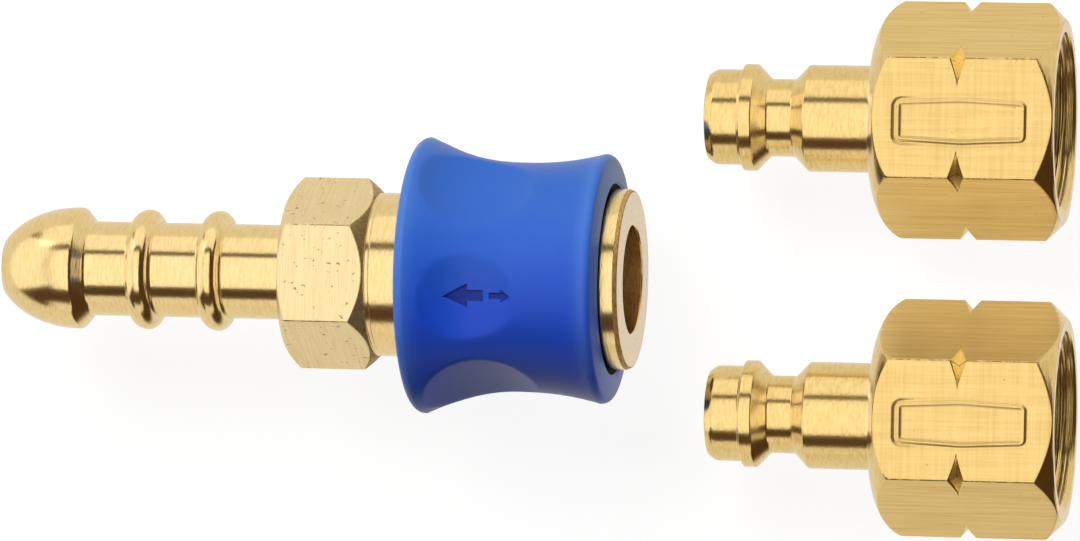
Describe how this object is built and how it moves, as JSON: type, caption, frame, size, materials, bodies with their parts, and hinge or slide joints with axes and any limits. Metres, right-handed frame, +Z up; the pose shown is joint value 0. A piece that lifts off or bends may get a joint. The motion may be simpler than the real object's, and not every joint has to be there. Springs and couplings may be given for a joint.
{
  "type": "quick release gas coupling",
  "caption": "Brass quick release hose coupling with a sliding blue sleeve, spring valve and ball lock, with plugs that have a female thread.",
  "frame": {"origin": "on the table, under the middle of the set's box", "axes": "+X along the coupling from the hose tail to the mouth and on to the plugs' threads, +Z up"},
  "size_m": [0.0996, 0.0494, 0.0256],
  "materials": {
    "brass": "turned and polished",
    "blue_plastic": "satin moulded",
    "steel": "polished",
    "spring_steel": "drawn wire",
    "rubber": "matt"
  },
  "bodies": {
    "root": {"hose_tail": "brass", "socket_body": "brass", "socket_seal": "rubber", "body_seal": "rubber", "sleeve_spring": "spring_steel", "valve_spring": "spring_steel"},
    "sleeve": {"release_sleeve": "blue_plastic", "sleeve_liner": "steel", "liner_snap_ring": "spring_steel"},
    "valve": {"valve_poppet": "brass", "valve_seal": "rubber"},
    "plug_1": {"plug_1": "brass", "plug_1_washer": "rubber"},
    "plug_2": {"plug_2": "brass", "plug_2_washer": "rubber"},
    "ball_1": {"locking_ball_1": "steel"},
    "ball_2": {"locking_ball_2": "steel"},
    "ball_3": {"locking_ball_3": "steel"},
    "ball_4": {"locking_ball_4": "steel"},
    "ball_5": {"locking_ball_5": "steel"},
    "ball_6": {"locking_ball_6": "steel"}
  },
  "joints": [
    {"name": "sleeve_slide", "type": "slide", "parent": "root", "child": "sleeve", "axis": [-1, 0, 0], "range_m": [0, 0.0035], "stiffness_N_per_m": 600, "springref_m": -0.002, "deforming": ["sleeve_spring"]},
    {"name": "valve_slide", "type": "slide", "parent": "root", "child": "valve", "axis": [-1, 0, 0], "range_m": [0, 0.0033], "stiffness_N_per_m": 300, "springref_m": -0.003, "deforming": ["valve_spring"]},
    {"name": "plug_1_slide", "type": "slide", "parent": "root", "child": "plug_1", "axis": [1, 0, 0], "range_m": [0, 0.03]},
    {"name": "plug_2_slide", "type": "slide", "parent": "root", "child": "plug_2", "axis": [1, 0, 0], "range_m": [0, 0.03]},
    {"name": "ball_1_slide", "type": "slide", "parent": "root", "child": "ball_1", "axis": [0, 0, -1], "range_m": [0, 0.00138]},
    {"name": "ball_2_slide", "type": "slide", "parent": "root", "child": "ball_2", "axis": [0, 0.866, -0.5], "range_m": [0, 0.00138]},
    {"name": "ball_3_slide", "type": "slide", "parent": "root", "child": "ball_3", "axis": [0, 0.866, 0.5], "range_m": [0, 0.00138]},
    {"name": "ball_4_slide", "type": "slide", "parent": "root", "child": "ball_4", "axis": [0, 0, 1], "range_m": [0, 0.00138]},
    {"name": "ball_5_slide", "type": "slide", "parent": "root", "child": "ball_5", "axis": [0, -0.866, 0.5], "range_m": [0, 0.00138]},
    {"name": "ball_6_slide", "type": "slide", "parent": "root", "child": "ball_6", "axis": [0, -0.866, -0.5], "range_m": [0, 0.00138]}
  ],
  "couplings": [
    {"joint": "ball_1_slide", "follows": "sleeve_slide", "ratio": 0.39143},
    {"joint": "ball_2_slide", "follows": "sleeve_slide", "ratio": 0.39143},
    {"joint": "ball_3_slide", "follows": "sleeve_slide", "ratio": 0.39143},
    {"joint": "ball_4_slide", "follows": "sleeve_slide", "ratio": 0.39143},
    {"joint": "ball_5_slide", "follows": "sleeve_slide", "ratio": 0.39143},
    {"joint": "ball_6_slide", "follows": "sleeve_slide", "ratio": 0.39143}
  ]
}
